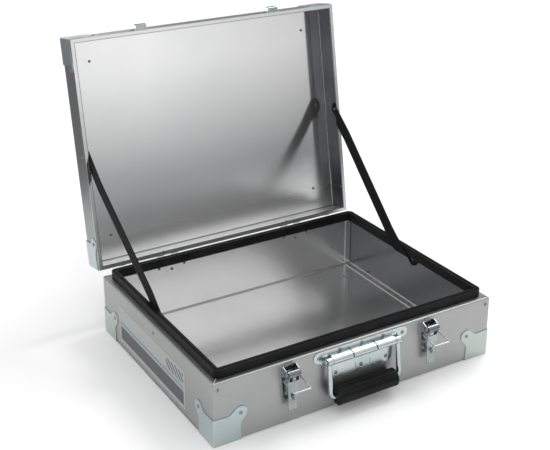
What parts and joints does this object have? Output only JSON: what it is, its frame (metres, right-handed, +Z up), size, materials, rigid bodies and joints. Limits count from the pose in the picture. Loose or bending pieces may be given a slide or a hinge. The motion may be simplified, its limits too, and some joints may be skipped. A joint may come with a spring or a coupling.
{
  "type": "carrying case",
  "caption": "Flat aluminium carrying case with hinged lid held open by webbing stays, sprung bail handle, toggle latches, rubber rim seal and steel corners.",
  "frame": {"origin": "centre of the base on the ground plane under the four steel corners", "axes": "X to the right across the width, Y from the front with the handle to the hinged back, Z up"},
  "size_m": [0.5044, 0.5494, 0.4972],
  "materials": {
    "case_aluminium": "satin",
    "lid_aluminium": "semi-gloss",
    "guard_steel": "zinc plated",
    "zinc_steel": "zinc plated",
    "pin_steel": "polished",
    "rivet_metal": "bright",
    "seal_rubber": "matte",
    "grip_rubber": "matte",
    "webbing": "woven",
    "label_vinyl": "printed"
  },
  "bodies": {
    "base": {"base_corner_back_left": "guard_steel", "base_corner_back_right": "guard_steel", "base_corner_front_left": "guard_steel", "base_corner_front_right": "guard_steel", "base_corner_rivets": "rivet_metal", "base_panel_rivets": "rivet_metal", "base_shell": "case_aluminium", "base_side_left": "case_aluminium", "base_side_right": "case_aluminium", "handle_pin": "pin_steel", "handle_plate": "zinc_steel", "handle_rivets": "rivet_metal", "handle_spring_left": "pin_steel", "handle_spring_right": "pin_steel", "hinge_left_base_leaf": "zinc_steel", "hinge_left_pin": "pin_steel", "hinge_right_base_leaf": "zinc_steel", "hinge_right_pin": "pin_steel", "hinge_rivets_base": "rivet_metal", "latch_left_base": "zinc_steel", "latch_left_pin": "pin_steel", "latch_right_base": "zinc_steel", "latch_right_pin": "pin_steel", "latch_rivets": "rivet_metal", "rim_seal": "seal_rubber", "side_label": "label_vinyl", "stay_strap_left": "webbing", "stay_strap_right": "webbing", "strap_rivets_base": "rivet_metal"},
    "lid": {"hinge_left_lid_leaf": "zinc_steel", "hinge_right_lid_leaf": "zinc_steel", "hinge_rivets_lid": "rivet_metal", "lid_catch_left": "zinc_steel", "lid_catch_right": "zinc_steel", "lid_catch_rivets": "rivet_metal", "lid_corner_back_left": "guard_steel", "lid_corner_back_right": "guard_steel", "lid_corner_front_left": "guard_steel", "lid_corner_front_right": "guard_steel", "lid_corner_rivets": "rivet_metal", "lid_tray": "lid_aluminium", "strap_rivets_lid": "rivet_metal"},
    "handle": {"handle_bail": "zinc_steel", "handle_grip": "grip_rubber"},
    "latch_left_lever": {"latch_left_lever": "zinc_steel"},
    "latch_left_loop": {"latch_left_loop": "zinc_steel"},
    "latch_right_lever": {"latch_right_lever": "zinc_steel"},
    "latch_right_loop": {"latch_right_loop": "zinc_steel"}
  },
  "joints": [
    {"name": "lid_hinge", "type": "hinge", "parent": "base", "child": "lid", "pos_m": [0, 0.201, 0.0997], "axis": [1, 0, 0], "range_deg": [0, 99.4], "deforming": ["stay_strap_left", "stay_strap_right"]},
    {"name": "handle_lift", "type": "hinge", "parent": "base", "child": "handle", "pos_m": [0, -0.2017, 0.0855], "axis": [-1, 0, 0], "range_deg": [0, 90], "stiffness_Nm_per_rad": 0.12, "springref_deg": -45.84},
    {"name": "latch_left_lever_turn", "type": "hinge", "parent": "base", "child": "latch_left_lever", "pos_m": [-0.126, -0.205, 0.088], "axis": [1, 0, 0], "range_deg": [-118, 0]},
    {"name": "latch_left_loop_swing", "type": "hinge", "parent": "latch_left_lever", "child": "latch_left_loop", "pos_m": [-0.126, -0.2015, 0.0785], "axis": [-1, 0, 0], "range_deg": [-50, 104]},
    {"name": "latch_right_lever_turn", "type": "hinge", "parent": "base", "child": "latch_right_lever", "pos_m": [0.126, -0.205, 0.088], "axis": [1, 0, 0], "range_deg": [-118, 0]},
    {"name": "latch_right_loop_swing", "type": "hinge", "parent": "latch_right_lever", "child": "latch_right_loop", "pos_m": [0.126, -0.2015, 0.0785], "axis": [-1, 0, 0], "range_deg": [-50, 104]}
  ]
}
